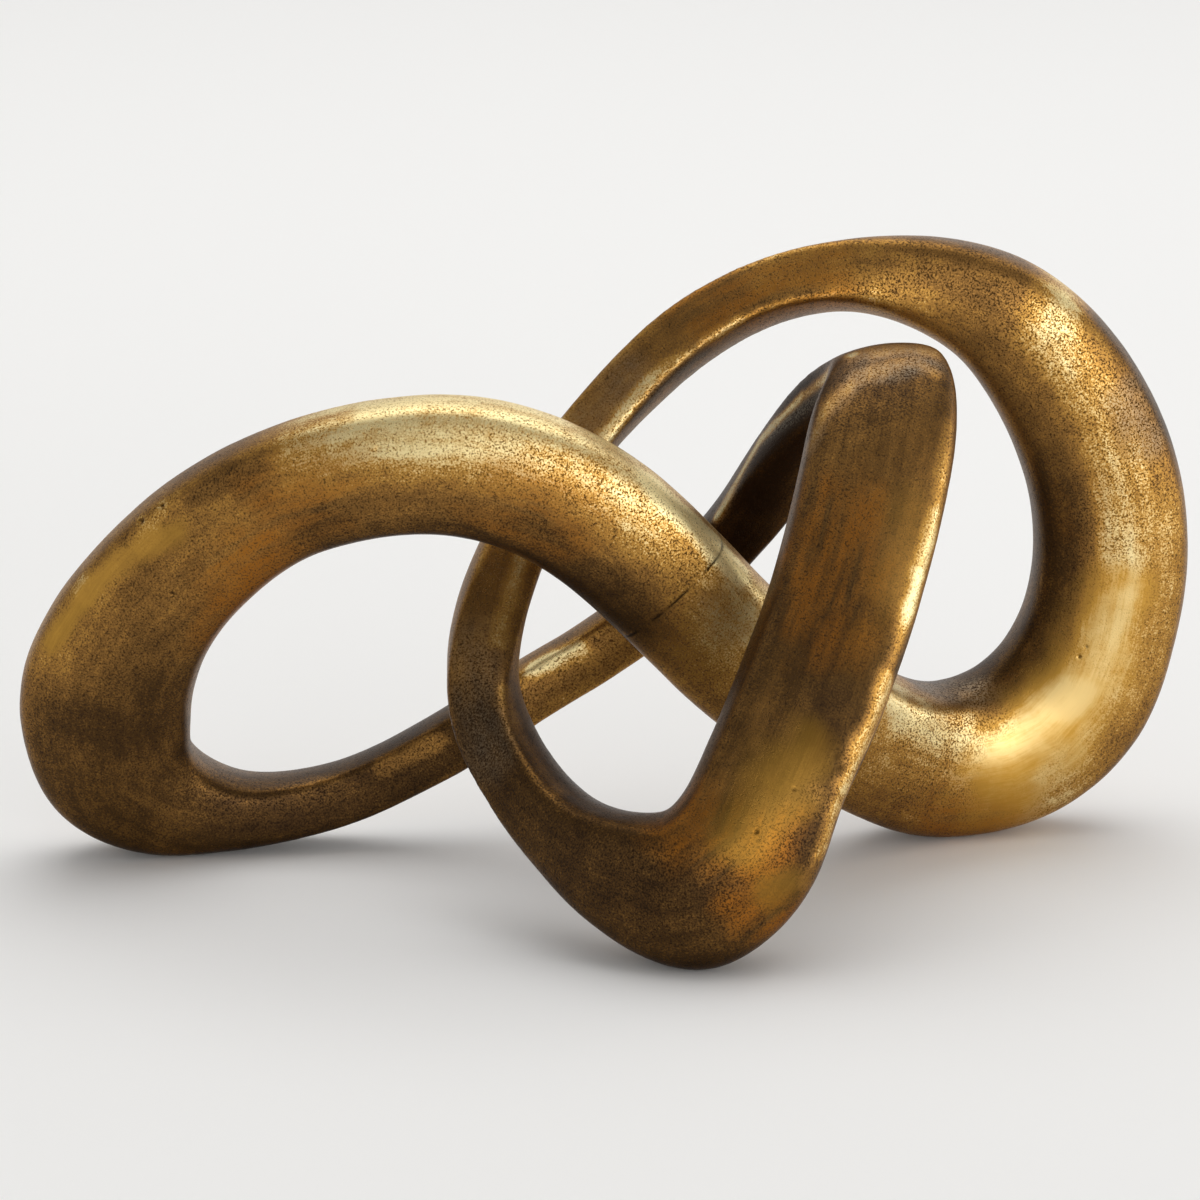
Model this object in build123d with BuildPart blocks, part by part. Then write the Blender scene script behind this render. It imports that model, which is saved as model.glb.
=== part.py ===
from build123d import *
import math
import os

# Table-top knot in cast metal: one endless band, cast in eight lengths that are dowelled end to end,
# welded round each joint and ground flush. The band stands on three small ground feet.
# All sizes in millimetres, +Z up, the view side of the knot towards -Y.

# Point of the layout below that becomes the origin, and the depth ground off the feet.
CENTRE_X = 3.1
CENTRE_Y = 0.9
GROUND_CUT = 1.2

# Section of the band: four bowed sides that meet in ridges. Each side has the bow that the dressing
# wheel leaves, so the ridges are crisp where the band is thin and soft where it is broad.
BROAD_SIDE_RADIUS = 56.0
NARROW_SIDE_RADIUS = 35.0
# Sections drawn from one station to the next, and sections drawn past a joint before it is cut square.
STEPS = 2
OVERRUN = 2
# Blocks that stand for what is sawn off past a joint and ground off under the feet.
SAWN_ACROSS = 110.0
SAWN_LENGTH = 70.0
GROUND_LENGTH = 700.0
GROUND_BREADTH = 400.0
GROUND_BLOCK = 60.0

# Weld in the V-groove round every joint, flush with the skin.
GROOVE_HALF_WIDTH = 3.0
GROOVE_DEPTH = 4.0
GROOVE_RISE = 1.5

# Steel locating dowel in the middle of every joint, with a slip fit in blind sockets.
DOWEL_DIAMETER = 10.0
DOWEL_LENGTH = 36.0
DOWEL_CHAMFER = 1.0
SOCKET_CLEARANCE = 0.05
SOCKET_END_ROOM = 1.0

# Centre line of the band, station by station: x, y, z, width, thickness, and the way the broad side
# looks in degrees, from the front (0) over the top (90) to the back (180).
ROUTE = {
    "left_low_a": (-59.5, 55.5, 40.5, 23.0, 22.5, 0),
    "left_low_b": (-93.5, 54.0, 23.5, 23.0, 23.5, 0),
    "left_low_c": (-123.0, 52.0, 16.5, 25.0, 28.0, 0),
    "left_foot": (-145.0, 50.0, 16.5, 32.0, 33.0, 0),
    "left_heel": (-166.0, 46.5, 22.4, 45.5, 37.0, 0),
    "left_turn": (-182.5, 40.5, 37.0, 60.0, 38.0, 0),
    "left_end": (-187.0, 34.0, 63.5, 65.0, 38.5, 0),
    "left_rise": (-180.5, 28.0, 86.0, 62.0, 38.5, 0),
    "left_shoulder": (-166.5, 22.0, 109.5, 56.5, 37.0, 0),
    "arch_a": (-144.5, 15.0, 133.2, 52.5, 36.5, 0),
    "arch_b": (-115.0, 7.0, 153.0, 49.5, 36.0, 0),
    "arch_c": (-79.0, 1.0, 164.0, 50.0, 36.0, 0),
    "arch_d": (-48.0, -1.0, 165.0, 51.5, 36.0, 0),
    "arch_e": (-20.0, -1.0, 156.5, 52.0, 36.0, 0),
    "arch_f": (5.0, 1.0, 140.0, 52.5, 36.0, 0),
    "arch_g": (27.0, 5.0, 118.0, 52.0, 36.0, 0),
    "link_a": (50.0, 13.5, 92.0, 51.5, 36.5, 0),
    "link_b": (77.5, 28.5, 66.5, 52.5, 38.0, 0),
    "link_c": (104.0, 48.0, 43.5, 55.0, 39.5, 0),
    "right_foot": (128.0, 65.0, 31.5, 59.5, 41.5, 0),
    "right_heel": (152.5, 74.0, 33.0, 63.0, 42.0, 0),
    "right_turn": (170.5, 77.5, 42.5, 64.5, 43.0, 0),
    "right_a": (184.0, 79.5, 58.5, 63.5, 43.0, 0),
    "right_b": (192.5, 80.0, 81.5, 60.5, 42.5, 0),
    "right_c": (196.0, 79.5, 109.0, 59.5, 42.0, 0),
    "right_d": (193.0, 79.0, 137.5, 58.5, 41.5, 0),
    "right_e": (183.0, 78.0, 165.0, 56.0, 40.5, 0),
    "right_f": (167.5, 77.0, 188.9, 51.5, 38.5, 0),
    "right_g": (147.0, 75.5, 207.6, 44.5, 35.5, 3),
    "top_a": (121.5, 74.0, 217.5, 35.5, 30.0, 10),
    "top_b": (93.5, 72.0, 220.5, 26.5, 25.5, 22),
    "top_c": (64.0, 69.0, 215.0, 23.0, 22.5, 33),
    "top_d": (36.5, 64.5, 201.5, 23.0, 22.5, 35),
    "top_e": (12.5, 59.5, 181.5, 23.0, 22.5, 33),
    "top_f": (-9.5, 51.0, 158.0, 23.0, 22.5, 24),
    "left_leg_a": (-27.0, 38.0, 134.0, 24.5, 23.5, 9),
    "left_leg_b": (-38.8, 20.0, 110.5, 26.0, 24.5, -5),
    "left_leg_c": (-43.3, 2.0, 90.0, 26.5, 25.0, -13),
    "left_leg_d": (-40.0, -17.0, 72.0, 26.0, 24.5, -16),
    "front_a": (-28.5, -36.0, 55.5, 25.5, 24.5, -12),
    "front_b": (-13.0, -54.0, 42.5, 30.0, 28.0, -6),
    "front_foot": (7.3, -70.0, 33.5, 43.5, 34.0, 0),
    "front_heel": (31.6, -80.0, 29.2, 58.8, 38.0, 0),
    "front_c": (51.2, -78.2, 45.0, 57.0, 37.0, 0),
    "upright_a": (62.0, -69.0, 68.0, 53.0, 36.5, 0),
    "upright_b": (74.0, -55.0, 91.5, 54.0, 35.5, 0),
    "upright_c": (84.0, -40.0, 114.0, 54.0, 35.5, 0),
    "upright_d": (92.5, -24.0, 137.0, 54.5, 35.5, 0),
    "upright_e": (99.5, -8.0, 160.0, 55.0, 34.5, 5),
    "upright_f": (104.0, 7.0, 179.0, 53.5, 32.5, 20),
    "fold_a": (106.0, 24.0, 190.6, 45.5, 28.5, 60),
    "fold_b": (98.5, 43.0, 183.5, 35.5, 26.5, 105),
    "back_a": (84.0, 57.0, 168.0, 29.5, 26.0, 140),
    "back_b": (68.0, 64.0, 146.0, 27.0, 26.0, 165),
    "back_c": (50.5, 67.0, 121.0, 25.0, 24.5, 180),
    "back_d": (28.5, 67.5, 97.5, 24.0, 23.0, 180),
    "back_e": (2.0, 66.0, 77.5, 23.0, 22.5, 180),
    "back_f": (-28.5, 62.0, 59.0, 23.0, 22.0, 180),
}

# Cast lengths in order round the knot, each with the stations where it begins and ends.
SECTIONS = {
    "left_loop": ("left_low_a", "arch_b"),
    "arch": ("arch_b", "arch_g"),
    "cross_link": ("arch_g", "right_heel"),
    "right_loop": ("right_heel", "right_g"),
    "top_strand": ("right_g", "left_leg_d"),
    "front_loop": ("left_leg_d", "upright_a"),
    "upright": ("upright_a", "upright_f"),
    "back_strand": ("upright_f", "left_low_a"),
}

STATIONS = list(ROUTE)
COUNT = len(STATIONS)
BEHIND = (Align.CENTER, Align.CENTER, Align.MAX)
AHEAD = (Align.CENTER, Align.CENTER, Align.MIN)


def spot(index):
    """Centre of a station, counted on past the last one round the knot."""
    x, y, z = ROUTE[STATIONS[index % COUNT]][:3]
    return Vector(x - CENTRE_X, y - CENTRE_Y, z - GROUND_CUT)


def station(index):
    """Centre, width, thickness, look and direction of a station; a trip round turns the look half round."""
    trips, place = divmod(index, COUNT)
    width, thickness, look = ROUTE[STATIONS[place]][3:]
    centre = spot(index)
    along = (spot(index + 1) - spot(index - 1)).normalized()
    return (*centre, width, thickness, look + 180 * trips, *along)


def band_at(place):
    """The same numbers at any place along the band, carried smoothly by the two stations on each side."""
    base = math.floor(place)
    part = place - base
    numbers = []
    for before, here, ahead, beyond in zip(*(station(base + step) for step in (-1, 0, 1, 2))):
        slope = ahead - before
        bend = 2 * before - 5 * here + 4 * ahead - beyond
        rest = 3 * (here - ahead) + beyond - before
        numbers.append(here + part / 2 * (slope + part * (bend + part * rest)))
    return numbers


def band_plane(place):
    """Plane across the band, its x axis along the width."""
    x, y, z, width, thickness, look, *along = band_at(place)
    along = Vector(*along).normalized()
    face = Vector(0, -math.cos(math.radians(look)), math.sin(math.radians(look)))
    return Plane(origin=(x, y, z), x_dir=along.cross(face).normalized(), z_dir=along)


def section_sides(place, grow):
    """Start, middle and end of the four bowed sides of the section, made larger all round by grow."""
    width, thickness = band_at(place)[3:5]
    across = width / 2 + grow
    deep = thickness / 2 + grow
    y = deep - across**2 / (2 * BROAD_SIDE_RADIUS)
    x = across - y**2 / (2 * NARROW_SIDE_RADIUS)
    y = deep - x**2 / (2 * BROAD_SIDE_RADIUS)
    return (
        ((x, -y), (across, 0), (x, y)),
        ((x, y), (0, deep), (-x, y)),
        ((-x, y), (-across, 0), (-x, -y)),
        ((-x, -y), (0, -deep), (x, -y)),
    )


def weld_groove(place):
    """Ring with a V section round the joint at a station, open to the outside."""
    joint_plane = band_plane(place)
    with BuildPart() as ring:
        with BuildSketch(joint_plane.offset(-GROOVE_HALF_WIDTH)):
            with BuildLine():
                for side in section_sides(place, 2 * GROOVE_RISE):
                    ThreePointArc(*side)
            make_face()
        extrude(amount=2 * GROOVE_HALF_WIDTH)
        for end in (-GROOVE_HALF_WIDTH, GROOVE_HALF_WIDTH):
            for grow, shift in ((GROOVE_RISE, end), (-GROOVE_DEPTH, 0)):
                with BuildSketch(joint_plane.offset(shift)):
                    with BuildLine():
                        for side in section_sides(place, grow):
                            ThreePointArc(*side)
                    make_face()
            loft(mode=Mode.SUBTRACT)
    return ring.part


os.makedirs("parts", exist_ok=True)

GROOVES = {}
for first_name, last_name in SECTIONS.values():
    GROOVES[first_name] = weld_groove(STATIONS.index(first_name))

# Cast lengths: the band from joint to joint, cut square at both ends, grooved for the weld,
# with a blind dowel socket in each end and the underside ground level where it would pass the floor.
for name, (first_name, last_name) in SECTIONS.items():
    first = STATIONS.index(first_name)
    last = STATIONS.index(last_name)
    if last <= first:
        last += COUNT
    with BuildPart() as section:
        for step in range(STEPS * first - OVERRUN, STEPS * last + OVERRUN + 1):
            with BuildSketch(band_plane(step / STEPS)):
                with BuildLine():
                    for side in section_sides(step / STEPS, 0):
                        ThreePointArc(*side)
                make_face()
        loft()
        with Locations(band_plane(first).location):
            Box(SAWN_ACROSS, SAWN_ACROSS, SAWN_LENGTH, align=BEHIND, mode=Mode.SUBTRACT)
        with Locations(band_plane(last).location):
            Box(SAWN_ACROSS, SAWN_ACROSS, SAWN_LENGTH, align=AHEAD, mode=Mode.SUBTRACT)
        add(GROOVES[first_name], mode=Mode.SUBTRACT)
        add(GROOVES[last_name], mode=Mode.SUBTRACT)
        with Locations(band_plane(first).location, band_plane(last).location):
            Cylinder(
                DOWEL_DIAMETER / 2 + SOCKET_CLEARANCE,
                DOWEL_LENGTH + 2 * SOCKET_END_ROOM,
                mode=Mode.SUBTRACT,
            )
        Box(GROUND_LENGTH, GROUND_BREADTH, GROUND_BLOCK, align=BEHIND, mode=Mode.SUBTRACT)
    section.part.label = name
    export_step(section.part, f"parts/{name}.step")

# Weld beads, ground flush with the band, and the dowels inside the joints.
for number, (first_name, last_name) in enumerate(SECTIONS.values(), start=1):
    joint = STATIONS.index(first_name)
    with BuildPart() as bead:
        for step in range(STEPS * joint - OVERRUN, STEPS * joint + OVERRUN + 1):
            with BuildSketch(band_plane(step / STEPS)):
                with BuildLine():
                    for side in section_sides(step / STEPS, 0):
                        ThreePointArc(*side)
                make_face()
        loft()
        add(GROOVES[first_name], mode=Mode.INTERSECT)
    bead.part.label = f"weld_bead_{number}"
    export_step(bead.part, f"parts/weld_bead_{number}.step")

    with BuildPart() as dowel:
        with Locations(band_plane(joint).location):
            Cylinder(DOWEL_DIAMETER / 2, DOWEL_LENGTH)
        chamfer(dowel.edges().filter_by(GeomType.CIRCLE), DOWEL_CHAMFER)
    dowel.part.label = f"dowel_{number}"
    export_step(dowel.part, f"parts/dowel_{number}.step")
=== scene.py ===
import math

import bmesh
import bpy
import numpy as np
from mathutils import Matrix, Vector, kdtree, noise
from mathutils.bvhtree import BVHTree


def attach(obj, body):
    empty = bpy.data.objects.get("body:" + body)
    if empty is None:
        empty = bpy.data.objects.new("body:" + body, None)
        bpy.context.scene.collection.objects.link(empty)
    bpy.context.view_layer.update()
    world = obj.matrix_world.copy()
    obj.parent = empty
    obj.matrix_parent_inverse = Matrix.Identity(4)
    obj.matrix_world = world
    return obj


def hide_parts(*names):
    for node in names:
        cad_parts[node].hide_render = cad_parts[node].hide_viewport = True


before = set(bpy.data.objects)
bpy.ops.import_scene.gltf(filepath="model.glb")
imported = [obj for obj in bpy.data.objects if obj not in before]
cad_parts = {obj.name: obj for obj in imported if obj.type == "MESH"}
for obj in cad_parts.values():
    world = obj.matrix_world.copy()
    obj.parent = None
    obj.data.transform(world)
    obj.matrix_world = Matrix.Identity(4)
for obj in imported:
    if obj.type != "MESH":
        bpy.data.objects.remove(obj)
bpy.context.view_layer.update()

# The viewpoint: the sculpture stands on a table and is seen from a little above, through a long
# lens, so its near and far loops keep nearly the same scale.
VIEW_ELEVATION = math.radians(16)
VIEW_DISTANCE = 1.8
VIEW_AIM = Vector((-0.0031, -0.0009, 0.1128))
VIEW_WIDTH = 0.4422
SENSOR = 36

eye = bpy.data.cameras.new("eye")
eye.sensor_width = SENSOR
eye.lens = SENSOR * VIEW_DISTANCE / VIEW_WIDTH
camera = bpy.data.objects.new("eye", eye)
towards_eye = Vector((0, -math.cos(VIEW_ELEVATION), math.sin(VIEW_ELEVATION)))
camera.location = VIEW_AIM + towards_eye * VIEW_DISTANCE
camera.rotation_euler = (math.pi / 2 - VIEW_ELEVATION, 0, 0)
bpy.context.scene.collection.objects.link(camera)
bpy.context.scene.camera = camera

# The casting: eight lengths of sand-cast aluminium, dowelled end to end, welded round and dressed
# flush, so one skin runs on over all of them. It is taken from the solids at a fine step, and its
# ridges are rubbed soft, as a sanding wheel leaves them.
SKIN_STEP = 0.0013
RUBBING_PASSES = 4
RUBBING_STRENGTH = 0.5
TOUCHING = 1e-6

lengths = [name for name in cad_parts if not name.startswith(("weld_bead", "dowel"))]
welds = sorted(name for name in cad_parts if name.startswith("weld_bead"))
dowels = sorted(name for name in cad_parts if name.startswith("dowel"))

cast = bmesh.new()
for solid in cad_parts.values():
    cast.from_mesh(solid.data)
bmesh.ops.remove_doubles(cast, verts=cast.verts, dist=TOUCHING)
cast_mesh = bpy.data.meshes.new("cast")
cast.to_mesh(cast_mesh)
cast.free()
blank = bpy.data.objects.new("blank", cast_mesh)
bpy.context.scene.collection.objects.link(blank)
fine = blank.modifiers.new("fine", "REMESH")
fine.mode = "VOXEL"
fine.voxel_size = SKIN_STEP
rubbing = blank.modifiers.new("rubbing", "SMOOTH")
rubbing.factor = RUBBING_STRENGTH
rubbing.iterations = RUBBING_PASSES
skin_mesh = bpy.data.meshes.new_from_object(
    blank.evaluated_get(bpy.context.evaluated_depsgraph_get())
)
bpy.data.objects.remove(blank)

# Hand dressing softens the ridges most where the band is thick, and leaves them crisp where it is thin.
# The fold at the top of the upright is thin too, but its ridges are rolled over softly.
SOFT_PASSES = 32
SOFT_STRENGTH = 0.5
THIN = 0.025
THICK = 0.031
FOLD = (0.095, 0.010, 0.196)
FOLD_REACH = 0.032
FOLD_SOFTNESS = 1.8

skin = bmesh.new()
skin.from_mesh(skin_mesh)
skin.normal_update()
inside = BVHTree.FromBMesh(skin)
softness = []
for point in skin.verts:
    gap = inside.ray_cast(point.co - point.normal * SKIN_STEP, -point.normal)[3] or THIN
    softness.append(min(1, max(0, (gap - THIN) / (THICK - THIN))))
softness = np.array(softness)
points = np.array([point.co for point in skin.verts])
from_fold = np.linalg.norm(points - FOLD, axis=1)
softness = np.maximum(softness, FOLD_SOFTNESS * np.exp(-((from_fold / FOLD_REACH) ** 2)))


def neighbours():
    """Each point of the skin beside each of its neighbours, and how many neighbours it has."""
    ends = np.array([[point.index for point in edge.verts] for edge in skin.edges])
    sides = np.concatenate((ends, ends[:, ::-1]))
    return sides, np.bincount(sides[:, 0], minlength=len(skin.verts))


def even_out(values):
    """The mean of each point's neighbours on the skin."""
    return np.bincount(sides[:, 0], values[sides[:, 1]], len(count)) / count


sides, count = neighbours()
for _ in range(SOFT_PASSES):
    softness = (softness + even_out(softness)) / 2
for _ in range(SOFT_PASSES):
    evened = np.stack([even_out(points[:, axis]) for axis in range(3)], axis=1)
    points += SOFT_STRENGTH * softness[:, None] * (evened - points)
for point, place in zip(skin.verts, points):
    point.co = place

# File and wheel leave the skin slightly wavy, in long swells and shorter flats, each with its length
# and height, while the three feet stay flat on the table.
SWELLS = ((0.042, 0.00030), (0.015, 0.00012), (0.005, 0.00003))
FOOT_HEIGHT = 0.0004

skin.normal_update()
for point in skin.verts:
    if point.co.z > FOOT_HEIGHT:
        lift = sum(depth * noise.noise(point.co / size) for size, depth in SWELLS)
        point.co += point.normal * lift
        point.co.z = max(point.co.z, 0)

# Casting flaws: a few gas pits and shallow dents that the sand mould left in the metal. Each has its
# place, radius and depth. The skin is made finer round it, and then pressed in.
FLAWS = (
    ((-0.1722, 0.0042, 0.1422), 0.0011, 0.0010),
    ((-0.1641, 0.0013, 0.1483), 0.0008, 0.0008),
    ((-0.1610, -0.0010, 0.1146), 0.0008, 0.0007),
    ((-0.1856, 0.0057, 0.0903), 0.0007, 0.0005),
    ((0.0823, -0.0789, 0.0748), 0.0032, 0.0009),
    ((-0.0829, -0.0177, 0.1740), 0.0013, 0.0003),
    ((0.0652, -0.0878, 0.0685), 0.0006, 0.0002),
    ((0.0724, -0.0856, 0.0678), 0.0008, 0.0003),
    ((0.0520, -0.0950, 0.0549), 0.0007, 0.0004),
    ((0.0732, -0.0900, 0.0453), 0.0008, 0.0004),
    ((0.1795, 0.0570, 0.0730), 0.0006, 0.0005),
    ((0.1830, 0.0570, 0.0780), 0.0005, 0.0004),
)
FLAW_CUTS = 2
FLAW_FINE = 2.2
FLAW_REACH = 2.5

crevice = skin.verts.layers.float.new("crevice")
around = kdtree.KDTree(len(skin.verts))
for point in skin.verts:
    around.insert(point.co, point.index)
around.balance()
skin.verts.ensure_lookup_table()
for place, radius, depth in FLAWS:
    spot = around.find(place)[0]
    near = {edge for _, index, _ in around.find_range(spot, FLAW_FINE * radius + SKIN_STEP)
            for edge in skin.verts[index].link_edges}
    bmesh.ops.subdivide_edges(skin, edges=list(near), cuts=FLAW_CUTS, use_grid_fill=True)
    skin.verts.ensure_lookup_table()
    pressed = {point for _, index, _ in around.find_range(spot, FLAW_REACH * radius + SKIN_STEP)
               for face in skin.verts[index].link_faces for point in face.verts}
    skin.normal_update()
    for point in pressed:
        pressing = math.exp(-(((point.co - spot).length / radius) ** 2))
        point.co -= point.normal * depth * pressing
        point[crevice] = max(point[crevice], pressing * min(1, depth / radius) ** 2)

# The joints: each dowel gives the place and direction of one. The skin is cut on both edges of
# its weld, and at the one weld that was dressed badly a thin seam is left open along one edge.
OPEN_WELD = "weld_bead_3"
SEAM_HALF_WIDTH = 0.0007
SEAM_DEPTH = 0.0001
SEAM_BREAKS = 0.006
SEAM_OPEN = 0.6
SEAM_VARIES = 1.5
SEAM_EDGE_DARK = 0.25
SEAM_SLACK = 0.001
JOINT_REACH = 0.048
CUT_SNAP = 1e-7

part_of = skin.faces.layers.int.new("part")
joints = []
for face in skin.faces:
    face[part_of] = -1
for order, (weld, dowel) in enumerate(zip(welds, dowels)):
    shank = np.array([point.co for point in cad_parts[dowel].data.vertices])
    middle = Vector((shank.min(0) + shank.max(0)) / 2)
    axis = Vector(np.linalg.svd(shank - shank.mean(0), full_matrices=False)[2][0])
    joints.append((middle, axis))
    bead = [(point.co - middle).dot(axis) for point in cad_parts[weld].data.vertices]
    edges = [min(bead), max(bead)]
    cuts = list(edges)
    if weld == OPEN_WELD:
        cuts += [edges[0] - SEAM_HALF_WIDTH, edges[0] + SEAM_HALF_WIDTH]
    skin_near = [face for face in skin.faces
                 if (face.calc_center_median() - middle).length < JOINT_REACH]
    local = list(skin_near)
    local += list({edge for face in skin_near for edge in face.edges})
    local += list({point for face in skin_near for point in face.verts})
    for cut in cuts:
        made = bmesh.ops.bisect_plane(
            skin, geom=local, dist=CUT_SNAP, plane_co=middle + axis * cut, plane_no=axis
        )
        local = made["geom"]
    for item in local:
        if isinstance(item, bmesh.types.BMFace):
            along = (item.calc_center_median() - middle).dot(axis)
            if edges[0] < along < edges[1]:
                item[part_of] = order
        elif isinstance(item, bmesh.types.BMVert) and weld == OPEN_WELD:
            slope = abs((item.co - middle).dot(axis) - edges[0]) / SEAM_HALF_WIDTH
            if slope < 1 + SEAM_SLACK:
                varied = SEAM_OPEN + SEAM_VARIES * noise.noise(item.co / SEAM_BREAKS)
                left_open = min(1, max(0, varied))
                item.co -= item.normal * SEAM_DEPTH * left_open * (1 - slope)
                item[crevice] = left_open * (1 - (1 - SEAM_EDGE_DARK) * slope)

# The lengths between the welds: each unbroken stretch of skin is one casting. It is matched to the
# solid that it covers, by how near a few of its faces lie to each.
SAMPLES = 40

solids = {}
for name in lengths:
    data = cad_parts[name].data
    solids[name] = BVHTree.FromPolygons(
        [point.co for point in data.vertices], [face.vertices for face in data.polygons]
    )
names = list(welds)
for start in skin.faces:
    if start[part_of] >= 0:
        continue
    stretch, front = [], [start]
    start[part_of] = len(names)
    while front:
        face = front.pop()
        stretch.append(face)
        for edge in face.edges:
            for other in edge.link_faces:
                if other[part_of] < 0:
                    other[part_of] = len(names)
                    front.append(other)
    sample = [face.calc_center_median() for face in stretch[:: max(1, len(stretch) // SAMPLES)]]
    gaps = {name: sum(solid.find_nearest(p)[3] for p in sample) for name, solid in solids.items()}
    names.append(min(gaps, key=gaps.get))
skin.normal_update()

# The patina: a brown wash put on the whole casting and rubbed back by hand. Each length has a few
# strips, between two places in millimetres, left dark (0), rubbed half bright or rubbed bright (1).
# These tones are partly the rubbed patina and partly painted highlight and painted shade, brighter
# where light falls on the band and darker where it lies in shade.
RUBBED_AND_PAINTED_LIGHT = {
    "left_loop": (
        ((-205, 10, 100), (-150, -5, 145), 0.60), ((-190, 10, 90), (-155, 0, 120), 0.40),
        ((-150, 0, 160), (-135, -5, 160), 0.50), ((-200, 15, 60), (-175, 25, 25), 0.30),
        ((-135, 35, 15), (-65, 45, 40), 0.15),
    ),
    "arch": (
        ((-100, -15, 175), (-5, -15, 168), 0.92), ((-100, -15, 150), (-20, -20, 155), 0.40),
        ((-60, -20, 142), (10, -15, 112), 0.10), ((10, -15, 150), (38, -10, 105), 0.75),
    ),
    "cross_link": (
        ((112, 32, 58), (135, 46, 46), 0.80), ((100, 28, 34), (135, 45, 20), 0.60),
        ((130, 58, 62), (140, 62, 58), 0.10), ((30, -5, 85), (70, 15, 60), 0.60),
    ),
    "right_loop": (
        ((155, 55, 30), (185, 57, 70), 0.90), ((185, 57, 70), (206, 60, 110), 0.95),
        ((209, 61, 130), (172, 60, 203), 1.00), ((168, 60, 78), (160, 58, 160), 0.20),
        ((160, 58, 160), (138, 55, 200), 0.45), ((192, 66, 194), (221, 70, 125), 0.05),
        ((219, 68, 125), (205, 66, 55), 0.50),
    ),
    "top_strand": (
        ((145, 60, 225), (95, 60, 228), 0.35), ((110, 60, 215), (70, 60, 220), 0.75),
        ((70, 60, 218), (10, 50, 190), 0.42), ((-5, 40, 165), (-50, -10, 95), 0.50),
    ),
    "front_loop": (
        ((-45, -30, 72), (10, -92, 42), 0.15), ((25, -100, 35), (30, -100, 15), 0.20),
        ((30, -95, 58), (50, -95, 55), 0.40), ((58, -95, 46), (64, -94, 48), 0.00),
        ((76, -90, 45), (60, -98, 28), 0.40),
    ),
    "upright": (
        ((45, -80, 85), (70, -55, 120), 0.30), ((90, -70, 90), (80, -60, 115), 0.05),
        ((85, -40, 145), (92, -12, 185), 0.30), ((110, -35, 140), (118, -12, 175), 0.50),
    ),
    "back_strand": (
        ((105, 5, 195), (105, 22, 205), 0.30), ((75, 42, 170), (55, 53, 125), 0.10),
        ((-20, 55, 72), (-5, 55, 65), 0.50),
    ),
}
STRIP_REACH = 0.018
TONE_ELSEWHERE = 0.48
ELSEWHERE_WEIGHT = 0.02
# Painted shade: faces turned downwards are made darker in tone, the more the further down they face.
UNDERSIDE_PAINTED_SHADE = 0.12
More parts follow.
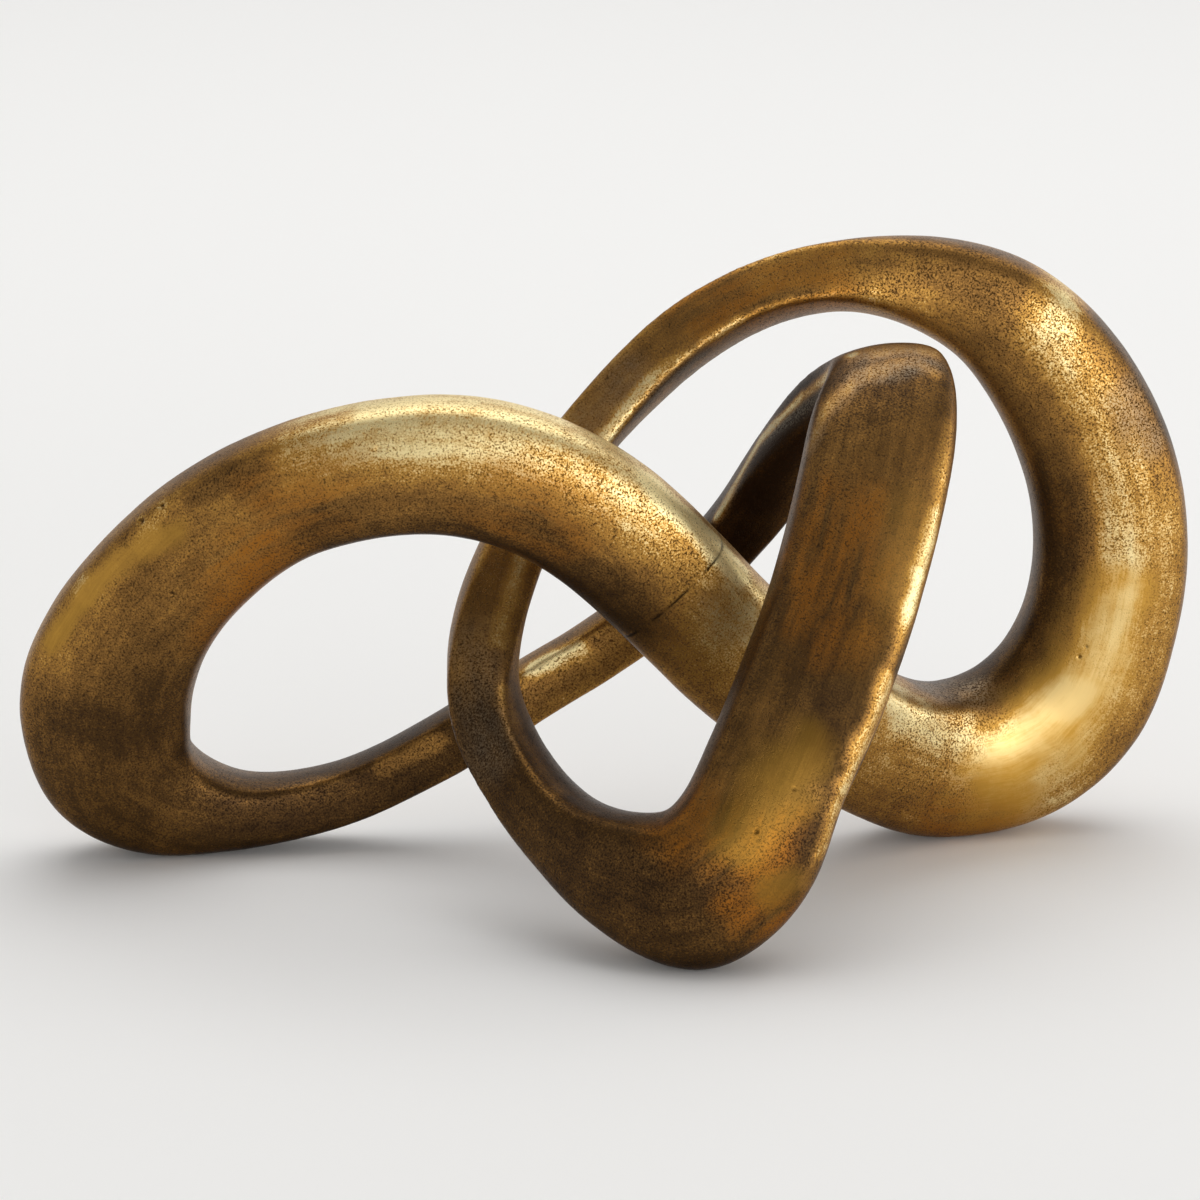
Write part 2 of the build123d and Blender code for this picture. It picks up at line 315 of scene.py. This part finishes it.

# Marks on the patina, each a soft-edged strip between two places, with its half width and strength:
# where a ridge was burnished bright, which is partly a painted highlight along rims and ridges, where
# a wheel polished it, where it came out russet, where it wore to the grey metal, which is partly a
# painted pale reflection on rims and top faces, where it stained dark and where the sand mould left
# pits.
MARKS = {
    # Burnished strips: partly real burnishing and partly painted highlight where rims and ridges catch
    # light.
    "burnished_and_painted_highlight": (
        ((124, -6, 179), (118, -24, 152), 4, 0.25), ((118, -24, 152), (112, -38, 133), 4, 0.6),
        ((112, -38, 133), (100, -59, 100), 4, 0.95), ((100, -59, 100), (86, -79, 67), 6, 1.5),
        ((86, -79, 67), (75, -89, 44), 4, 1.0),
        ((75, -89, 44), (70, -92, 34), 4, 0.5), ((-194, 9, 113), (-168, 1, 136), 5, 0.3),
        ((-1, 41, 165), (16, 47, 185), 3, 0.7), ((16, 47, 185), (49, 52, 206), 3, 0.5),
        ((41, 56, 130), (57, 61, 158), 3, 1.8), ((57, 61, 158), (72, 48, 178), 3, 1.8),
        ((72, 48, 178), (90, 20, 199), 3, 1.5), ((72, -12, 173), (81, -4, 188), 3, 0.6),
        ((81, -4, 188), (93, 5, 196), 3, 0.6), ((93, 5, 196), (112, 13, 201), 4, 0.6),
        ((112, 13, 201), (120, 8, 196), 3, 0.5),
        ((112, 28, 61), (134, 47, 48), 9, 0.4), ((-87, 42, 34), (-64, 44, 44), 4, 0.6),
        ((-28, 52, 71), (-11, 54, 78), 4, 0.8), ((-33, 16, 123), (-40, -6, 99), 4, 0.5),
        ((-38, -23, 85), (-17, -57, 57), 4, 0.6), ((15, -9, 161), (48, -6, 126), 6, 0.6),
        ((92, 19, 202), (118, 19, 202), 6, 0.6), ((148, 50, 40), (178, 57, 60), 9, 0.45),
        ((178, 57, 60), (195, 58, 94), 8, 0.3),
    ),
    "polished": (
        ((71, -81, 81), (61, -87, 72), 11, 0.9), ((61, -87, 72), (47, -95, 54), 13, 0.8),
        ((57, -96, 33), (64, -94, 35), 7, 0.8), ((152, 52, 26), (178, 57, 58), 18, 1.0),
        ((178, 57, 58), (196, 58, 96), 14, 0.8), ((-208, 14, 92), (-184, 5, 124), 4, 0.9),
        ((-184, 5, 124), (-158, -2, 139), 5, 0.8), ((112, -32, 150), (92, -68, 88), 14, 0.3),
    ),
    "russet": (
        ((-126, -6, 127), (-137, 11, 105), 18, 1.0), ((-101, -16, 162), (-120, -12, 150), 15, 0.6),
        ((86, -36, 152), (79, -56, 125), 18, 0.8), ((29, -93, 58), (53, -97, 48), 16, 0.8),
        ((131, 48, 14), (151, 53, 14), 16, 0.8), ((190, 57, 112), (186, 57, 135), 16, 0.2),
        ((34, 57, 213), (80, 60, 222), 15, 0.7), ((-39, -21, 156), (-10, -20, 150), 14, 0.6),
        ((50, -98, 26), (62, -97, 24), 12, 0.9),
    ),
    # Bared strips: partly bare metal and partly painted pale reflection on rims and top faces.
    "bared_and_painted_reflection": (
        ((-50, -8, 96), (-44, -36, 66), 12, 0.35), ((41, 57, 130), (58, 61, 158), 4, 1.0),
        ((58, 61, 158), (90, 20, 199), 4, 1.0), ((12, 47, 172), (34, 51, 194), 4, 0.6),
        ((108, 28, 66), (138, 60, 60), 10, 0.6), ((96, 18, 204), (114, 18, 204), 9, 0.6),
        ((194, 58, 174), (203, 60, 158), 8, 0.7), ((-14, 46, 160), (8, 50, 184), 9, 0.5),
        ((40, -6, 112), (48, -6, 104), 9, 0.5), ((72, -12, 173), (93, 5, 196), 4, 0.7),
        ((93, 5, 196), (118, 12, 200), 5, 0.7),
    ),
    "stained": (
        ((-203, 13, 62), (-184, 14, 56), 10, 0.6), ((98, 4, 196), (114, 6, 196), 13, 0.6),
        ((8, -94, 38), (38, -101, 34), 12, 0.8), ((-151, -4, 154), (-128, -8, 164), 5, 1.0),
        ((-108, -11, 141), (-90, -14, 143), 9, 0.5), ((82, -80, 78), (80, -78, 70), 6, 0.9),
        ((172, 59, 76), (166, 60, 82), 12, 0.7), ((186, 66, 206), (216, 69, 160), 7, 1.0),
        ((-176, 10, 78), (-150, 6, 76), 7, 0.5), ((57, 51, 141), (68, 44, 162), 8, 1.0),
        ((12, 46, 172), (34, 51, 194), 4, 1.0), ((-112, -8, 178), (-100, -8, 184), 6, 0.8),
        ((57, -96, 45), (66, -93, 50), 10, 1.0), ((78, 4, 192), (92, 14, 201), 4, 1.0),
    ),
    "coarse": (
        ((116, 33, 52), (142, 48, 42), 14, 1.0), ((34, -13, 117), (26, -14, 124), 15, 0.2),
        ((-46, -30, 76), (-50, -12, 94), 12, 0.6), ((-34, -16, 178), (0, -17, 168), 18, 0.2),
        ((5, -16, 160), (45, -9, 118), 14, 0.2), ((146, 58, 216), (185, 57, 180), 19, 0.4),
        ((190, 57, 165), (207, 60, 130), 16, 0.3), ((207, 60, 130), (203, 59, 96), 14, 0.3),
        ((14, -96, 34), (34, -100, 28), 15, 0.8), ((55, 58, 214), (112, 60, 226), 14, 0.6),
        ((88, -34, 155), (79, -58, 122), 18, 0.5), ((190, 57, 150), (190, 57, 120), 14, 0.4),
        ((118, 40, 30), (138, 46, 24), 15, 0.7),
    ),
}
BLOT_SIZE = 0.011
MARK_CORE = 1.25
MARK_FADE = 0.8
MARK_RAGGED = 0.4

points = np.array([point.co for point in skin.verts])
normals = np.array([point.normal for point in skin.verts])
ragged = np.array([noise.noise(point.co / BLOT_SIZE) for point in skin.verts])


def away_from(start, end):
    """How far each point of the skin is from the straight run between two places."""
    start, run = np.array(start) / 1000, (np.array(end) - np.array(start)) / 1000
    along = np.clip((points - start) @ run / (run @ run), 0, 1)
    return np.linalg.norm(points - start - along[:, None] * run, axis=1)


weight = np.full(len(points), ELSEWHERE_WEIGHT)
total = weight * TONE_ELSEWHERE
for strips in RUBBED_AND_PAINTED_LIGHT.values():
    for start, end, rubbed_and_painted_light in strips:
        near = np.exp(-((away_from(start, end) / STRIP_REACH) ** 2))
        weight += near
        total += near * rubbed_and_painted_light
# The tone of the strips, with painted shade on the undersides.
patina_and_painted_light = {"rubbed_and_painted_light": total / weight + UNDERSIDE_PAINTED_SHADE * np.minimum(normals[:, 2], 0)}
for kind, strips in MARKS.items():
    value = np.zeros(len(points))
    for start, end, half_width, strength in strips:
        away = away_from(start, end) / (half_width / 1000)
        soft = np.clip(MARK_CORE - MARK_FADE * away - MARK_RAGGED * ragged, 0, 1)
        value = np.maximum(value, strength * soft * soft * (3 - 2 * soft))
    patina_and_painted_light[kind] = value

# Ridges wear first, as hands and cloths pass over them. What counts is how sharply the skin bends
# outwards, as one over its radius in metres, evened out over the neighbours of each point.
RIDGE_DULL = 45
RIDGE_SHARP = 150
RIDGE_BLUR = 4
LEAST_STEP_SQUARED = 1e-9

sides, count = neighbours()
step = points[sides[:, 1]] - points[sides[:, 0]]
step_squared = (step ** 2).sum(1).clip(LEAST_STEP_SQUARED)
bend = -2 * (step * normals[sides[:, 0]]).sum(1) / step_squared
bend = np.bincount(sides[:, 0], bend, len(points)) / count
for _ in range(RIDGE_BLUR):
    bend = (bend + even_out(bend)) / 2
patina_and_painted_light["crevice"] = np.array([point[crevice] for point in skin.verts])
patina_and_painted_light["worn"] = np.clip((bend - RIDGE_DULL) / (RIDGE_SHARP - RIDGE_DULL), 0, 1)

# File, wheel and brush were worked along the band. Its middle line round the knot, in millimetres,
# is the route of the part's own source: each point of the skin gets its place along it and its two
# offsets across it.
MIDDLE_LINE = (
    (-63, 55, 39), (-97, 53, 22), (-126, 51, 15), (-148, 49, 15), (-169, 46, 21), (-186, 40, 36),
    (-190, 33, 62), (-184, 27, 85), (-170, 21, 108), (-148, 14, 132), (-118, 6, 152), (-82, 0, 163),
    (-51, -2, 164), (-23, -2, 155), (2, 0, 139), (24, 4, 117), (47, 13, 91), (74, 28, 65),
    (101, 47, 42), (125, 64, 30), (149, 73, 32), (167, 77, 41), (181, 79, 57), (189, 79, 80),
    (193, 79, 108), (190, 78, 136), (180, 77, 164), (164, 76, 188), (144, 75, 206), (118, 73, 216),
    (90, 71, 219), (61, 68, 214), (33, 64, 200), (9, 59, 180), (-13, 50, 157), (-30, 37, 133),
    (-42, 19, 109), (-46, 1, 89), (-43, -18, 71), (-32, -37, 54), (-16, -55, 41), (4, -71, 32),
    (28, -81, 28), (48, -79, 44), (59, -70, 67), (71, -56, 90), (81, -41, 113), (89, -25, 136),
    (96, -9, 159), (101, 6, 178), (103, 23, 189), (95, 42, 182), (81, 56, 167), (65, 63, 145),
    (47, 66, 120), (25, 67, 96), (-1, 65, 76), (-32, 61, 58),
)
LINE_STEPS = 8

turns = np.array(MIDDLE_LINE) / 1000
share = np.arange(LINE_STEPS)[None, :, None] / LINE_STEPS
line = (turns[:, None] * (1 - share) + np.roll(turns, -1, 0)[:, None] * share).reshape(-1, 3)
ahead = np.roll(line, -LINE_STEPS, 0) - np.roll(line, LINE_STEPS, 0)
ahead /= np.linalg.norm(ahead, axis=1)[:, None]
run = np.append(0, np.linalg.norm(np.diff(line, axis=0), axis=1)).cumsum()
across = [np.cross(ahead[0], (0, 0, 1))]
for direction in ahead[1:]:
    carried = across[-1] - direction * (across[-1] @ direction)
    across.append(carried / np.linalg.norm(carried))
across = np.array(across)
nearest = np.zeros(len(points), int)
least = np.full(len(points), np.inf)
for index, middle in enumerate(line):
    out = points - middle
    far = (out ** 2).sum(1)
    closer = (far < least) & ((out * normals).sum(1) > 0)
    least[closer] = far[closer]
    nearest[closer] = index
out = points - line[nearest]
stroke = np.stack((
    (out * across[nearest]).sum(1),
    (out * np.cross(ahead, across)[nearest]).sum(1),
    (out * ahead[nearest]).sum(1) + run[nearest],
), axis=1)

# Antique brass finish on sand-cast aluminium: a brown wash, rubbed back by hand to a satin gold. The
# eye gets soft highlights, streaks along the band and a fine speckle. Grain and wheel marks are finer
# in truth, and drawn 0.7 mm wide so that they show.
CLOUD = 0.040
MOTTLE = 0.008
GRAIN = 0.0007
WHEEL_MARK_WIDTH = 0.0007
WHEEL_MARK_LENGTH = 0.02
STREAK_WIDTH = 0.005
STREAK_LENGTH = 0.04


def paint(code):
    """A written sRGB colour as linear values."""
    parts = [int(code[k : k + 2], 16) / 255 for k in (1, 3, 5)]
    return (*[c / 12.92 if c <= 0.04045 else ((c + 0.055) / 1.055) ** 2.4 for c in parts], 1)


def add(tree, kind, inputs, **settings):
    """A node with its settings, each input set to a value or linked to another node's output."""
    made = tree.nodes.new("ShaderNode" + kind)
    for name, value in settings.items():
        setattr(made, name, value)
    for socket, value in inputs.items():
        if isinstance(value, bpy.types.NodeSocket):
            tree.links.new(value, made.inputs[socket])
        else:
            made.inputs[socket].default_value = value
    return made


def start_material(name):
    """An empty material and its tree of nodes."""
    made = bpy.data.materials.new(name)
    made.use_nodes = True
    made.node_tree.nodes.clear()
    return made, made.node_tree


brass, tree = start_material("antique_brass_and_painted_light")
place = add(tree, "TexCoord", {}).outputs["Object"]
marks = {kind: add(tree, "Attribute", {}, attribute_name=kind).outputs["Fac"] for kind in patina_and_painted_light}
cloud = add(tree, "TexNoise", {"Vector": place, "Scale": 1 / CLOUD, "Detail": 3}).outputs["Fac"]
mottle = add(tree, "TexNoise", {
    "Vector": place, "Scale": 1 / MOTTLE, "Detail": 5, "Roughness": 0.65,
}).outputs["Fac"]
grain = add(tree, "TexNoise", {
    "Vector": place, "Scale": 1 / GRAIN, "Detail": 2, "Roughness": 0.6,
}).outputs["Fac"]
stroked = add(tree, "Attribute", {}, attribute_name="stroke").outputs["Vector"]
drawn = add(tree, "Mapping", {
    "Vector": stroked, "Scale": (1 / WHEEL_MARK_WIDTH, 1 / WHEEL_MARK_WIDTH, 1 / WHEEL_MARK_LENGTH),
}).outputs[0]
brushed = add(tree, "TexNoise", {"Vector": drawn, "Scale": 1, "Detail": 2}).outputs["Fac"]
drawn = add(tree, "Mapping", {
    "Vector": stroked, "Scale": (1 / STREAK_WIDTH, 1 / STREAK_WIDTH, 1 / STREAK_LENGTH),
}).outputs[0]
streak = add(tree, "TexNoise", {"Vector": drawn, "Scale": 1, "Detail": 3}).outputs["Fac"]
unpolished = add(tree, "Math", {0: 1.0, 1: marks["polished"]}, operation="SUBTRACT").outputs[0]

# How far the wash is rubbed off at each point: the hand's own tone, clouds and mottling in it, fine
# wheel marks, and the ridges worn brighter. The tone also holds the painted highlight and shade of the
# rubbed strips, the painted shade of the undersides and the painted highlight of the burnished strips.
# The colours go from the wash to the brightest gold, which is pale enough to carry painted highlights.
BRUSH_SHARE = 0.18
SPECKLE_SHARE = 0.75
PATTERN_SHARE = 0.35
TONE_SHIFTS = (("worn", 0.12), ("stained", -0.15), ("burnished_and_painted_highlight", 0.45))
WASH = "#342518"
RUBBED_AND_PAINTED_LIGHT_COLOURS = (
    (0.0, 0.27, "#553D21"),
    (0.25, 0.52, "#896333"),
    (0.5, 0.75, "#B88A40"),
    (0.70, 0.95, "#EDDAA2"),
)

# The satin tone: brush marks over the rubbed tone, with its painted highlight and painted shade.
swing = add(tree, "Math", {0: brushed, 1: 0.5}, operation="SUBTRACT").outputs[0]
satin_and_painted_light = add(
    tree, "Math", {0: swing, 1: BRUSH_SHARE, 2: marks["rubbed_and_painted_light"]}, operation="MULTIPLY_ADD"
).outputs[0]
speckle = add(tree, "Math", {0: grain, 1: 0.5}, operation="SUBTRACT").outputs[0]
speckle = add(tree, "Math", {0: speckle, 1: SPECKLE_SHARE}, operation="MULTIPLY").outputs[0]
tone = add(tree, "Math", {0: speckle, 1: unpolished, 2: satin_and_painted_light}, operation="MULTIPLY_ADD").outputs[0]
for pattern in (cloud, mottle, streak):
    swing = add(tree, "Math", {0: pattern, 1: 0.5}, operation="SUBTRACT").outputs[0]
    tone = add(tree, "Math", {0: swing, 1: PATTERN_SHARE, 2: tone}, operation="MULTIPLY_ADD").outputs[0]
for kind, gain in TONE_SHIFTS:
    tone = add(tree, "Math", {0: marks[kind], 1: gain, 2: tone}, operation="MULTIPLY_ADD").outputs[0]
colour = paint(WASH)
for low, high, shade in RUBBED_AND_PAINTED_LIGHT_COLOURS:
    share = add(tree, "MapRange", {"Value": tone, "From Min": low, "From Max": high}).outputs[0]
    colour = add(tree, "Mix", {0: share, 6: colour, 7: paint(shade)}, data_type="RGBA").outputs[2]

# Russet stains: places where the wash came out a reddish brown. They lie in streaks along the band,
# broken up into specks.
RUSSET = "#9A5F1E"
RUSSET_SHARE = 0.7
RUSSET_LEAST = 0.4
RUSSET_MOST = 1.4

share = add(tree, "MapRange", {
    "Value": streak, "From Min": 0.35, "From Max": 0.6, "To Max": RUSSET_SHARE,
}).outputs[0]
share = add(tree, "Math", {0: share, 1: marks["russet"]}, operation="MULTIPLY").outputs[0]
sown = add(tree, "MapRange", {
    "Value": grain, "From Min": 0.38, "From Max": 0.62,
    "To Min": RUSSET_LEAST, "To Max": RUSSET_MOST,
}).outputs[0]
share = add(tree, "Math", {0: share, 1: sown}, operation="MULTIPLY").outputs[0]
colour = add(tree, "Mix", {0: share, 6: colour, 7: paint(RUSSET)}, data_type="RGBA").outputs[2]

# Wheel-polished places: the wheel cut the wash back to a clean yellow without specks, which follows
# the satin tone with its painted light, and is paler where the place was burnished as well, which is
# partly a painted highlight.
POLISHED_DULL = "#543A10"
POLISHED_CLEAN = "#D8A646"
POLISHED_SHARE = 0.7
BURNISH_AND_HIGHLIGHT_SHARE = 0.4

share = add(
    tree, "Math", {0: marks["burnished_and_painted_highlight"], 1: -BURNISH_AND_HIGHLIGHT_SHARE, 2: POLISHED_SHARE},
    operation="MULTIPLY_ADD",
).outputs[0]
share = add(tree, "Math", {0: marks["polished"], 1: share}, operation="MULTIPLY").outputs[0]
clean = add(
    tree, "Mix", {0: satin_and_painted_light, 6: paint(POLISHED_DULL), 7: paint(POLISHED_CLEAN)}, data_type="RGBA"
).outputs[2]
colour = add(tree, "Mix", {0: share, 6: colour, 7: clean}, data_type="RGBA").outputs[2]

# Bared places: the finish wore off there, and the grey cast metal shows through it in specks, on the
# high grain between the pits. On some rims and top faces this grey is a painted pale reflection.
BARE_METAL_AND_REFLECTION_GREY = "#827A6A"
BARE_AND_REFLECTION_SHARE = 0.8

share = add(tree, "MapRange", {
    "Value": grain, "From Min": 0.42, "From Max": 0.62, "To Max": BARE_AND_REFLECTION_SHARE,
}).outputs[0]
share = add(tree, "Math", {0: share, 1: marks["bared_and_painted_reflection"]}, operation="MULTIPLY").outputs[0]
colour = add(tree, "Mix", {0: share, 6: colour, 7: paint(BARE_METAL_AND_REFLECTION_GREY)}, data_type="RGBA").outputs[2]

# Sand pits hold the dark wash: fine all over, denser and darker on the coarse places. Flaws and the
# open seam hold it too.
PIT_WASH = "#2E2011"
CREVICE_WASH = "#1E150C"
PIT_LEVEL = 0.44
COARSE_LEVEL = 0.06
PIT_SLOPE = 0.10
PIT_SHARE = 0.55
COARSE_SHARE = 0.15
PIT_DEPTH = 0.0003
PIT_RELIEF = 0.4
SATIN_ROUGHNESS = 0.42
POLISHED_ROUGHNESS = 0.40
PIT_ROUGHNESS = 0.15

edge = add(
    tree, "Math", {0: marks["coarse"], 1: COARSE_LEVEL, 2: PIT_LEVEL}, operation="MULTIPLY_ADD"
).outputs[0]
bottom = add(tree, "Math", {0: edge, 1: PIT_SLOPE}, operation="SUBTRACT").outputs[0]
pit = add(tree, "MapRange", {"Value": grain, "From Min": edge, "From Max": bottom}).outputs[0]
pit = add(tree, "Math", {0: pit, 1: unpolished}, operation="MULTIPLY").outputs[0]
share = add(
    tree, "Math", {0: marks["coarse"], 1: COARSE_SHARE, 2: PIT_SHARE}, operation="MULTIPLY_ADD"
).outputs[0]
share = add(tree, "Math", {0: share, 1: pit}, operation="MULTIPLY").outputs[0]
colour = add(tree, "Mix", {0: share, 6: colour, 7: paint(PIT_WASH)}, data_type="RGBA").outputs[2]
colour = add(
    tree, "Mix", {0: marks["crevice"], 6: colour, 7: paint(CREVICE_WASH)}, data_type="RGBA"
).outputs[2]
rough = add(tree, "MapRange", {
    "Value": marks["polished"], "To Min": SATIN_ROUGHNESS, "To Max": POLISHED_ROUGHNESS,
}).outputs[0]
rough = add(tree, "Math", {0: pit, 1: PIT_ROUGHNESS, 2: rough}, operation="MULTIPLY_ADD").outputs[0]
bump = add(
    tree, "Bump", {"Height": pit, "Strength": PIT_RELIEF, "Distance": PIT_DEPTH}, invert=True
).outputs[0]
shader = add(tree, "BsdfPrincipled", {
    "Base Color": colour, "Metallic": 1.0, "Roughness": rough, "Normal": bump,
})
add(tree, "OutputMaterial", {"Surface": shader.outputs[0]})

# Each length and each weld becomes a closed piece of its own, with the whole skin's shading on its
# edges. Inside the joints a length ends in the slope of its weld groove and a flat face, and a weld
# is a ring that fills the two slopes.
GROOVE_DEPTH = 0.004

corners = [[] for _ in names]
for face in skin.faces:
    corners[face[part_of]].append([point.index for point in face.verts])
skin.free()
for name, faces in zip(names, corners):
    used = sorted({index for face in faces for index in face})
    place_in_piece = {index: k for k, index in enumerate(used)}
    mesh = bpy.data.meshes.new(name + "_skin")
    mesh.from_pydata(
        points[used].tolist(), [], [[place_in_piece[index] for index in face] for face in faces]
    )
    for kind, value in patina_and_painted_light.items():
        layer = mesh.attributes.new(kind, "FLOAT", "POINT")
        layer.data.foreach_set("value", value[used].astype(np.float32))
    layer = mesh.attributes.new("stroke", "FLOAT_VECTOR", "POINT")
    layer.data.foreach_set("vector", stroke[used].astype(np.float32).ravel())
    shape = bmesh.new()
    shape.from_mesh(mesh)
    rims = [edge for edge in shape.edges if edge.is_boundary]
    if name in welds:
        middle, axis = joints[welds.index(name)]
        rims = [edge for edge in rims if (edge.verts[0].co - middle).dot(axis) < 0]
    for item in bmesh.ops.extrude_edge_only(shape, edges=rims)["geom"]:
        if isinstance(item, bmesh.types.BMVert):
            middle, axis = min(joints, key=lambda joint: (joint[0] - item.co).length)
            out = item.co - middle
            out -= axis * out.dot(axis)
            item.co = middle + out * (1 - GROOVE_DEPTH / out.length)
    rims = [edge for edge in shape.edges if edge.is_boundary]
    if name in welds:
        bmesh.ops.bridge_loops(shape, edges=rims)
    else:
        bmesh.ops.holes_fill(shape, edges=rims)
    shape.to_mesh(mesh)
    shape.free()
    on_skin = sum(len(face) for face in faces)
    corner_points = np.empty(len(mesh.loops), int)
    mesh.loops.foreach_get("vertex_index", corner_points)
    facings = [face.normal for face in mesh.polygons]
    shading = np.repeat(facings, [face.loop_total for face in mesh.polygons], axis=0)
    shading[:on_skin] = normals[used][corner_points[:on_skin]]
    mesh.polygons.foreach_set("use_smooth", [True] * len(mesh.polygons))
    mesh.normals_split_custom_set(shading.tolist())
    mesh.materials.append(brass)
    piece = bpy.data.objects.new(name + "_skin", mesh)
    bpy.context.scene.collection.objects.link(piece)
    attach(piece, "root")
    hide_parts(name)

# The dowels: pins of bright steel, turned on a lathe and slid into blind sockets in both ends of each
# joint. They are hidden in the finished knot, so each keeps its solid.
STEEL = "#B9B7B2"
LATHE_MARK = 0.0008

steel, tree = start_material("turned_steel")
place = add(tree, "TexCoord", {}).outputs["Object"]
lathe = add(tree, "TexNoise", {"Vector": place, "Scale": 1 / LATHE_MARK, "Detail": 2}).outputs["Fac"]
rough = add(tree, "MapRange", {"Value": lathe, "To Min": 0.25, "To Max": 0.4}).outputs[0]
shader = add(tree, "BsdfPrincipled", {
    "Base Color": paint(STEEL), "Metallic": 1.0, "Roughness": rough,
})
add(tree, "OutputMaterial", {"Surface": shader.outputs[0]})
for name in dowels:
    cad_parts[name].data.materials.clear()
    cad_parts[name].data.materials.append(steel)

# The table: a wide flat sheet of pale matt paper that the knot stands on. It shows the soft shadow and
# is only the stage, not a piece of the knot.
FLOOR_SIZE = 30
PAPER = "#F2F1EF"

floor_mesh = bpy.data.meshes.new("table_top")
half = FLOOR_SIZE / 2
floor_mesh.from_pydata(
    [(-half, -half, 0), (half, -half, 0), (half, half, 0), (-half, half, 0)], [], [(0, 1, 2, 3)]
)
table_top = bpy.data.objects.new("table_top", floor_mesh)
bpy.context.scene.collection.objects.link(table_top)
pale, tree = start_material("pale_paper")
shader = add(tree, "BsdfPrincipled", {"Base Color": paint(PAPER), "Roughness": 0.9})
add(tree, "OutputMaterial", {"Surface": shader.outputs[0]})
floor_mesh.materials.append(pale)

# The lamp: one large soft box above the table and a little behind the knot, which gives the soft
# shadow under it.
LAMP_SIZE = 4.0
LAMP_POWER = 75
LAMP_PLACE = (0.2, 1.0, 3.5)

lamp = bpy.data.lights.new("overhead", "AREA")
lamp.size = LAMP_SIZE
lamp.energy = LAMP_POWER
overhead = bpy.data.objects.new("overhead", lamp)
overhead.location = LAMP_PLACE
overhead.rotation_euler = (VIEW_AIM - overhead.location).to_track_quat("-Z", "Y").to_euler()
bpy.context.scene.collection.objects.link(overhead)

# The room: white behind the table and dim in front of it, with four low wide windows of soft light,
# each with its direction, the angles of its full and faded parts across and its brightness.
WINDOWS = (
    ((0.44, -0.88, 0.12), 14, 32, 5.5),
    ((0.95, -0.25, 0.10), 14, 32, 4.0),
    ((-0.80, -0.55, 0.20), 16, 36, 0.7),
    ((0.65, 0.70, 0.25), 20, 55, 0.6),
)
WINDOW_FLATTENING = 2.0
DIM_FRONT = 0.25
WHITE_BACK = 0.65

world = bpy.data.worlds.new("studio")
bpy.context.scene.world = world
world.use_nodes = True
tree = world.node_tree
looking = add(tree, "TexCoord", {}).outputs["Generated"]
depth = add(tree, "SeparateXYZ", {0: looking}).outputs["Y"]
level = add(tree, "MapRange", {
    "Value": depth, "From Min": -1.0, "To Min": DIM_FRONT, "To Max": WHITE_BACK,
}).outputs[0]
low = add(tree, "Mapping", {"Vector": looking, "Scale": (1, 1, WINDOW_FLATTENING)}).outputs[0]
low = add(tree, "VectorMath", {0: low}, operation="NORMALIZE").outputs[0]
for direction, full, faded, brightness in WINDOWS:
    towards = Vector(direction).normalized()
    facing = add(tree, "VectorMath", {0: low, 1: towards}, operation="DOT_PRODUCT").outputs["Value"]
    glow = add(tree, "MapRange", {
        "Value": facing, "From Min": math.cos(math.radians(faded)),
        "From Max": math.cos(math.radians(full)), "To Max": brightness,
    }, interpolation_type="SMOOTHSTEP").outputs[0]
    level = add(tree, "Math", {0: level, 1: glow}, operation="ADD").outputs[0]
tree.links.new(level, tree.nodes["Background"].inputs["Color"])
bpy.context.scene.view_settings.view_transform = "Standard"
